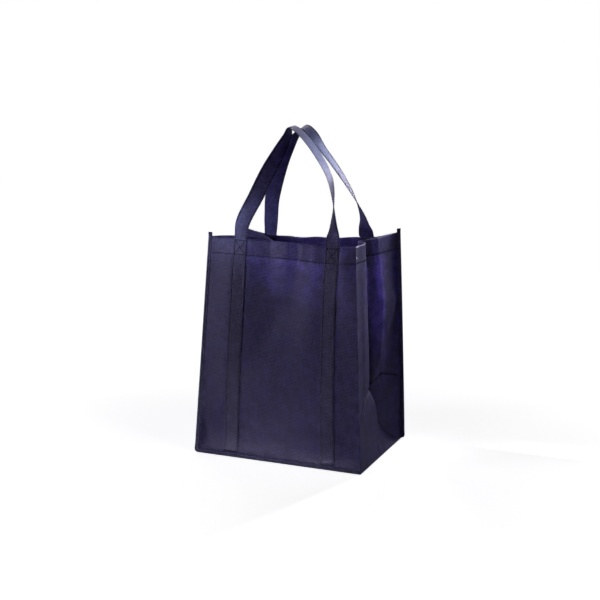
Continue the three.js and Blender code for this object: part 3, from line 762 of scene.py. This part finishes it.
def tape_shape():
    """Share of the thickness across a folded tape."""
    w = TAPE_ACROSS
    fold = np.sqrt(np.clip(1 - ((w - FOLD_START) / FOLD_REACH).clip(0) ** 2, FOLD_THIN, 1))
    start = START_SHARE + (1 - START_SHARE) * smooth(w / START_REACH)
    return fold * start * (1 - DRAWN_SHARE * np.exp(-(((w - DRAWN_PLACE) / DRAWN_REACH) ** 2)))


def binding(panel):
    """Tape folded over one seam: down the upright edge from its ear, round the corner as a fan and along the
    bottom. It is drawn in by its stitches, so it ripples a little along its length."""
    reach = SEAM + GAP + TAPE
    upright, laid = 2 * (CLOTH + GAP + TAPE), 2 * TAPE + CLOTH
    clear = CLOTH / 2 + GAP + laid / 2
    pivot = reach + GAP
    v = np.linspace(1, 2 * pivot / HEIGHT, UPRIGHT_ROWS)
    point, _ = surface(panel, np.zeros(len(v)), v)
    along = unit(wall(panel, np.full(len(v), 1.0), v) - wall(panel, np.zeros(len(v)), v)) * [1, 1, 0]
    out = unit(np.stack([along[:, 1], -along[:, 0], 0 * v], -1))
    ear = np.linspace(EAR, EAR_CLEAR, EAR_ROWS)[:, None] * [0, 0, 1]
    inward, outside = np.repeat(-along[:1], EAR_ROWS, 0), np.repeat(out[:1], EAR_ROWS, 0)
    rows = [(point[:1] + ear, inward, outside, 0, upright), (point, -along, out, 0, upright)]
    turn = np.linspace(0, np.pi / 2, FAN_ROWS)
    settled = smooth(turn / (np.pi / 3))
    foot = wall(panel, 0.0, 0.0) * [1, 1, 0] + [0, 0, pivot]
    base = unit(wall(panel, 1.0, 0.0) - wall(panel, 0.0, 0.0))
    face = np.array([[base[1], -base[0], 0]])
    fan = -np.cos(turn)[:, None] * base - np.sin(turn)[:, None] * [0, 0, 1]
    thick = upright + settled * (laid - upright)
    corner = np.repeat(foot[None], FAN_ROWS, 0)
    rows.append((corner, fan, np.repeat(face, FAN_ROWS, 0), settled * clear, thick))
    s = np.linspace(FAN_CLEAR, WIDTH, BOTTOM_ROWS)
    ground = np.repeat([[0, 0, -1.0]], BOTTOM_ROWS, 0)
    rows.append((foot + s[:, None] * base, ground, np.repeat(face, BOTTOM_ROWS, 0), clear, laid))
    point, outward, normal = (np.concatenate([r[i] for r in rows]) for i in (0, 1, 2))
    shift, thick = (np.concatenate([np.broadcast_to(r[i], len(r[0])) for r in rows]) for i in (3, 4))
    start = point + normal * shift[:, None]
    length = distance(start)
    ripple = 1 + sum(high * np.sin(2 * np.pi * length / long + phase) for high, long, phase in RIPPLES)
    points = start[:, None] + (TAPE_ACROSS * reach)[None, :, None] * outward[:, None]
    half = (thick * ripple / 2)[:, None] * tape_shape()
    return Ribbon(points, np.broadcast_to(normal[:, None], points.shape), half)


# Thread

STITCH, STITCH_GAP = 3.2, 1.0
THREAD, FINE_THREAD = 0.75, 0.4  # radius on the straps and hem, and on the tape
DASH_SIDES = 6
DASH_ALONG = np.array([-0.7, 0.0, 0.7])  # a dash's rings, as shares of its half length, and of its radius
DASH_ROUND = np.array([0.8, 1.0, 0.8])
DASH_RISE, DASH_DIP, TIP_DIP = 0.4, 0.6, 0.5  # how a dash stands out and dips at its ends, in radii
DASH_SIGHT = 0.3  # how far along its line a dash looks both ways for its direction


class Stitches:
    """All the thread: dashes along lines, each a short bead that dips into the cloth at both ends."""

    def __init__(self):
        self.points = []

    def sew(self, path, normal, radius=THREAD):
        """Dashes along a path on a surface with those normals."""
        length = distance(path)
        pitch = STITCH + STITCH_GAP
        middle = np.arange(pitch / 2, length[-1], pitch)

        def at(x, a):
            return np.stack([np.interp(x, length, a[:, k]) for k in range(3)], -1)

        axis = unit(at(middle + DASH_SIGHT, path) - at(middle - DASH_SIGHT, path))
        up = at(middle, normal)
        up = unit(up - axis * (up * axis).sum(-1, keepdims=True))
        over = np.cross(axis, up)
        angle = np.arange(DASH_SIDES) / DASH_SIDES * 2 * np.pi
        ring = np.cos(angle)[:, None, None] * over + np.sin(angle)[:, None, None] * up
        ring = radius * DASH_ROUND[:, None, None, None] * ring
        core = at(middle, path) + DASH_ALONG[:, None, None] * axis * STITCH / 2
        core = core + (DASH_RISE - DASH_DIP * DASH_ALONG**2)[:, None, None] * radius * up
        body = (core[:, None] + ring).transpose(2, 0, 1, 3).reshape(len(middle), -1, 3)
        sunk = at(middle, path) - TIP_DIP * radius * up
        tips = np.stack([sunk + e * axis * STITCH / 2 for e in (-1, 1)], 1)
        self.points.append(np.concatenate([body, tips], 1))

    def make(self, name, material):
        """One mesh of all the beads: the same faces for each, closed by a point at both tips."""
        beads = np.concatenate(self.points)
        rings = len(DASH_ALONG)
        quads, tris = ring_quads(rings, DASH_SIDES), end_fans(rings, DASH_SIDES)
        a, b, c = beads[0, quads[0, :3]]
        if np.cross(b - a, c - a) @ (a - beads[0, :DASH_SIDES].mean(0)) < 0:
            quads, tris = quads[:, ::-1], tris[:, ::-1]
        offset = (np.arange(len(beads)) * beads.shape[1])[:, None, None]
        quads, tris = (quads + offset).reshape(-1, 4), (tris + offset).reshape(-1, 3)
        return make_mesh(name, beads.reshape(-1, 3), quads, tris, None, material)


def on_panel(panel, s, t, lift):
    """A line on the outside of a panel, through places and heights."""
    points, normal = surface(panel, np.asarray(s, float), np.asarray(t, float) / HEIGHT)
    return points + normal * lift, normal


cloth = bag_cloth()
front_strap = strap(0, FRONT_CROWN, FRONT_LEFT_LEG, FRONT_RIGHT_LEG)
back_strap = strap(2, BACK_CROWN, BACK_LEFT_LEG, BACK_RIGHT_LEG)
front_tape, back_tape = binding(0), binding(2)
front_strap_piece = front_strap.make("front_strap", strap_finish)
back_strap_piece = back_strap.make("back_strap", strap_finish)
front_tape_piece = front_tape.make("front_tape", tape_finish)
back_tape_piece = back_tape.make("back_tape", tape_finish)

STRAP_TOP = CLOTH / 2 + GAP + STRAP_THICKNESS
HEM_STITCH, BOX_TOP = HEIGHT - HEM + 2.5, HEIGHT - 3.0
BOX_STEPS, HEM_STEPS, GUSSET_STEPS = 30, 120, 160
SEAM_END, FOLD_END, STRAP_SIDE = 2, 5, 1  # where hem stitches stop before a seam, a folded edge and a strap
TAPE_STITCH = 0.42  # share of the tape's width

stitches = Stitches()
for panel, ribbon in ((0, front_strap), (2, back_strap)):
    share = np.linspace(0, 1, len(STRAP_ACROSS))
    for w in np.interp([-STRAP_STITCH, STRAP_STITCH], STRAP_ACROSS, share):
        stitches.sew(*ribbon.line(w, 1 if panel == 0 else -1))
    for start in (STRAP_INSET, WIDTH - STRAP_END):
        inset = (0.5 - STRAP_STITCH) * STRAP_WIDTH
        x = np.linspace(start + inset, start + STRAP_WIDTH - inset, BOX_STEPS)
        slope = np.linspace(HEM_STITCH, BOX_TOP, BOX_STEPS)
        for t in (np.full(BOX_STEPS, HEM_STITCH), np.full(BOX_STEPS, BOX_TOP), slope, slope[::-1]):
            stitches.sew(*on_panel(panel, x, t, STRAP_TOP))
    for lo, hi in (
        (SEAM_END, STRAP_INSET - STRAP_SIDE),
        (STRAP_END + STRAP_SIDE, WIDTH - STRAP_END - STRAP_SIDE),
        (WIDTH - STRAP_INSET + STRAP_SIDE, WIDTH - FOLD_END),
    ):
        x = np.linspace(lo, hi, HEM_STEPS)
        stitches.sew(*on_panel(panel, x, np.full(HEM_STEPS, HEM_STITCH), CLOTH / 2))
for panel in (1, 3):
    x = np.linspace(FOLD_END, DEPTH - FOLD_END, GUSSET_STEPS)
    stitches.sew(*on_panel(panel, x, np.full(GUSSET_STEPS, HEM_STITCH), CLOTH / 2))
for ribbon in (front_tape, back_tape):
    for side in (1, -1):
        stitches.sew(*ribbon.line(TAPE_STITCH, side), FINE_THREAD)
thread = stitches.make("thread", stitch_finish)

# Frame
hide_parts("bag_body")
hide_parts("front_handle")
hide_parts("back_handle")
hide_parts("front_binding")
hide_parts("back_binding")
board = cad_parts["base_board"]
board.data.materials.clear()
board.data.materials.append(insert_finish)

# Floor, light and camera

FLOOR_HALF, FLOOR_ROWS, FLOOR_DROP = 4000, 9, 0.4
# Metres from the middle between which the floor turns dark to the bag, and grows brighter to the camera
FLOOR_DARK, FLOOR_GLOW = (0.5, 1.2), (0.25, 0.9)


def studio_floor():
    """A wide flat pale sheet under the bag. It glows to the camera alone, a little less near the bag, so that
    it shows a faint shadow and no end."""
    line = np.linspace(-FLOOR_HALF, FLOOR_HALF, FLOOR_ROWS)
    x, y = np.meshgrid(line, line)
    points = np.column_stack([x.ravel(), y.ravel(), np.full(x.size, -FLOOR_DROP)])
    step = np.arange(FLOOR_ROWS - 1)
    i = (step[:, None] * FLOOR_ROWS + step).ravel()
    quads = np.stack([i, i + 1, i + FLOOR_ROWS + 1, i + FLOOR_ROWS], -1)
    f = new_finish("pale_floor")
    seen = f.node("LightPath")
    spot = f.node("TexCoord", out=3)
    off = f.node("VectorMath", {"operation": "LENGTH"}, {0: spot}, out=1)
    lit = f.blend(f.step(off, *FLOOR_DARK), rgb(0.5, 0.5, 0.505), rgb(0.06, 0.06, 0.065))
    f.set(Base_Color=f.blend(seen, lit, rgb(0.9, 0.9, 0.9)), Roughness=0.9, Specular_IOR_Level=0.1)
    level = f.blend(f.step(off, *FLOOR_GLOW), rgb(0.77, 0.77, 0.77), rgb(1, 1, 1))
    f.set(Emission_Color=f.blend(seen, rgb(0, 0, 0), level), Emission_Strength=1.0)
    return make_mesh("floor", points, quads, (), None, f.owner)


floor = studio_floor()
floor.parent = None

AIM_HEIGHT = 0.2662
WHITE, COOL, BLUE = (1, 1, 1), (0.88, 0.86, 1.0), (0.56, 0.68, 1.0)
MIDDLE, LAMP_AWAY, WIDE = (0, 0, AIM_HEIGHT), 2.6, 40
# Azimuth with 0 the front and 90 the right, elevation, size, power, colour, the spot it faces, and its cone
LAMPS = {
    "left_light": (307, 9, 0.7, 1.3, COOL, (0, 0, 0.15), WIDE),
    "front_light": (350, 14, 0.9, 0.24, WHITE, MIDDLE, WIDE),
    "right_light": (75, 30, 1.0, 0.6, WHITE, MIDDLE, WIDE),
    "back_light": (188, 33, 0.8, 0.47, COOL, MIDDLE, WIDE),
    "top_light": (0, 80, 1.2, 0.14, WHITE, MIDDLE, WIDE),
    "fill_light": (225, 16, 1.2, 0.7, WHITE, MIDDLE, WIDE),
    "side_light": (164, 18, 0.3, 0.42, COOL, (0.15, 0.0, 0.31), 12),
    "handle_light": (150, 28, 0.3, 0.19, BLUE, (0.03, -0.03, 0.53), 9),
    "shelf_light": (115, 45, 0.15, 0.024, COOL, (0.145, 0.02, 0.012), 4),
    "foot_light": (338, 8, 0.3, 0.1, WHITE, (-0.01, -0.12, -0.03), 6),
    "rim_light": (310, 14, 0.3, 0.008, COOL, (-0.04, -0.08, 0.35), 6),
    "leg_light": (335, 6, 0.1, 0.027, BLUE, (-0.09, 0.012, 0.4), 2.7),
    "fold_light": (272, 42, 0.15, 0.1, COOL, (0.125, 0.04, 0.32), 3.4),
    "glow_light": (195, 36, 0.4, 0.13, COOL, (0.065, -0.085, 0.315), 5),
}


def softbox(name, azimuth, elevation, size, power, colour, aim, cone):
    """A square lamp with a grid that narrows its cone, hidden from the camera."""
    lamp = bpy.data.lights.new(name, "AREA")
    lamp.shape, lamp.size, lamp.energy, lamp.color = "SQUARE", size, power, colour
    lamp.spread = np.radians(cone)
    obj = bpy.data.objects.new(name, lamp)
    bpy.context.scene.collection.objects.link(obj)
    a, e = np.radians(azimuth), np.radians(elevation)
    away = np.array([np.sin(a) * np.cos(e), -np.cos(a) * np.cos(e), np.sin(e)])
    obj.location = away * LAMP_AWAY + aim
    obj.rotation_euler = (np.pi / 2 - e, 0, a)
    obj.visible_camera = False


for name, settings in LAMPS.items():
    softbox(name, *settings)

WORLD_LEVEL = 0.02
world = bpy.data.worlds.new("studio")
bpy.context.scene.world = world
w = Finish(world, "Background")
seen = w.node("LightPath")
w.set(Color=rgb(1, 1, 1), Strength=(1 - seen) * WORLD_LEVEL + seen)

CAMERA_AZIMUTH, CAMERA_DISTANCE, CAMERA_HEIGHT = np.radians(22.9), 2.0141, 0.6619
FOCAL_PIXELS, AXIS_PIXELS, PICTURE, SENSOR = 1166.5, 1.5, 600, 36.0
camera = bpy.data.objects.new("camera", bpy.data.cameras.new("camera"))
bpy.context.scene.collection.objects.link(camera)
bpy.context.scene.camera = camera
sideways = np.array([np.sin(CAMERA_AZIMUTH), -np.cos(CAMERA_AZIMUTH)]) * CAMERA_DISTANCE
camera.location = (*sideways, CAMERA_HEIGHT)
fall = np.arctan2(CAMERA_HEIGHT - AIM_HEIGHT, CAMERA_DISTANCE)
camera.rotation_euler = (np.pi / 2 - fall, 0, CAMERA_AZIMUTH)
camera.data.sensor_width = SENSOR
camera.data.lens = SENSOR * FOCAL_PIXELS / PICTURE
camera.data.shift_x = -AXIS_PIXELS / PICTURE
bpy.context.scene.view_settings.view_transform = "Standard"
